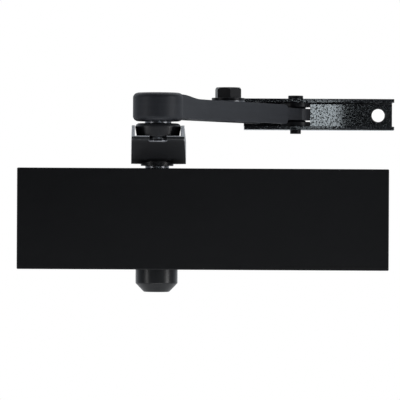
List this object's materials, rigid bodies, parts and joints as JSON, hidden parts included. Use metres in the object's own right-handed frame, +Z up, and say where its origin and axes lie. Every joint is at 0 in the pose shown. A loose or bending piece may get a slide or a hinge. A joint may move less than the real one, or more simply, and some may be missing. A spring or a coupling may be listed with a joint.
{
  "type": "door closer",
  "caption": "Surface-mounted hydraulic door closer in a plain rectangular cover, with a rack and pinion body, a double-lever arm and a channel-shaped frame shoe.",
  "frame": {"origin": "centre of the four door screw holes, on the back face that lies on the door", "axes": "+X along the body towards the spring end, +Y out of the back face into the door, +Z up"},
  "size_m": [0.2402, 0.187, 0.1287],
  "materials": {
    "cover_black": "satin black enamel",
    "cap_black": "satin black",
    "arm_black": "semi-gloss black on pressed steel",
    "forearm_grey": "matt dark grey on a casting",
    "shoe_black": "gloss black powder coat",
    "bolt_black": "black oxide",
    "washer_steel": "darkened steel",
    "body_aluminium": "as cast",
    "bright_steel": "machined",
    "bronze": "machined",
    "seal_rubber": "matt",
    "spring_steel": "oil-blackened"
  },
  "bodies": {
    "closer_body": {"housing": "body_aluminium", "cover": "cover_black", "cover_screws": "bolt_black", "left_plug": "bright_steel", "right_plug": "bright_steel", "plug_seals": "seal_rubber", "upper_bearing": "bronze", "lower_bearing": "bronze", "upper_seal": "seal_rubber", "lower_seal": "seal_rubber", "upper_gland": "bright_steel", "lower_gland": "bright_steel", "pinion_cap": "cap_black"},
    "sweep_adjuster": {"sweep_valve": "bronze", "sweep_valve_seal": "seal_rubber"},
    "latch_adjuster": {"latch_valve": "bronze", "latch_valve_seal": "seal_rubber"},
    "backcheck_adjuster": {"backcheck_valve": "bronze", "backcheck_valve_seal": "seal_rubber"},
    "power_adjuster": {"power_screw": "bright_steel", "power_screw_seal": "seal_rubber"},
    "seat": {"spring_seat": "bright_steel", "spring": "spring_steel"},
    "piston_set": {"piston": "bright_steel", "piston_rings": "seal_rubber", "check_ball": "bright_steel", "ball_retainer": "bronze"},
    "spindle": {"pinion": "washer_steel", "spindle_collar": "arm_black", "main_arm": "arm_black", "arm_washer": "washer_steel", "arm_screw": "bolt_black", "elbow_boss": "arm_black", "elbow_washer": "washer_steel", "elbow_pin": "washer_steel"},
    "forearm_link": {"forearm": "forearm_grey"},
    "rod_end": {"forearm_rod": "forearm_grey", "clamp_washer": "washer_steel", "clamp_spring_washer": "bolt_black", "clamp_bolt": "bolt_black"},
    "frame_shoe": {"shoe": "shoe_black", "shoe_pin": "bolt_black", "shoe_spacers": "bolt_black"}
  },
  "joints": [
    {"name": "arm_swing", "type": "hinge", "parent": "closer_body", "child": "spindle", "pos_m": [-0.0295, -0.022, 0.04], "axis": [0, 0, 1], "range_deg": [0, 150], "stiffness_Nm_per_rad": 7.5, "springref_deg": -137.51},
    {"name": "piston_stroke", "type": "slide", "parent": "closer_body", "child": "piston_set", "axis": [1, 0, 0], "range_m": [0, 0.0253], "deforming": ["spring"]},
    {"name": "elbow", "type": "hinge", "parent": "spindle", "child": "forearm_link", "pos_m": [-0.02701, -0.17198, 0.0589], "axis": [0, 0, 1], "range_deg": [-140, 25]},
    {"name": "rod_length", "type": "slide", "parent": "forearm_link", "child": "rod_end", "axis": [0.4798, 0.8774, 0], "range_m": [-0.012, 0.012]},
    {"name": "shoe_pivot", "type": "hinge", "parent": "rod_end", "child": "frame_shoe", "pos_m": [0.05937, -0.014, 0.06735], "axis": [0, 0, 1], "range_deg": [-110, 55]},
    {"name": "power_turn", "type": "hinge", "parent": "closer_body", "child": "power_adjuster", "pos_m": [0.1, -0.022, 0], "axis": [-1, 0, 0], "range_deg": [0, 2161]},
    {"name": "seat_travel", "type": "slide", "parent": "closer_body", "child": "seat", "axis": [-1, 0, 0], "range_m": [0, 0.009]},
    {"name": "sweep_turn", "type": "hinge", "parent": "closer_body", "child": "sweep_adjuster", "pos_m": [-0.1, -0.0355, 0.0205], "axis": [-1, 0, 0], "range_deg": [-360, 360]},
    {"name": "latch_turn", "type": "hinge", "parent": "closer_body", "child": "latch_adjuster", "pos_m": [-0.1, -0.0355, -0.0205], "axis": [-1, 0, 0], "range_deg": [-360, 360]},
    {"name": "backcheck_turn", "type": "hinge", "parent": "closer_body", "child": "backcheck_adjuster", "pos_m": [0.1, -0.0355, 0.0205], "axis": [1, 0, 0], "range_deg": [-360, 360]}
  ],
  "couplings": [
    {"joint": "piston_stroke", "follows": "arm_swing", "m_per_rad": 0.0096},
    {"joint": "power_turn", "follows": "seat_travel", "rad_per_m": 4188.8}
  ]
}
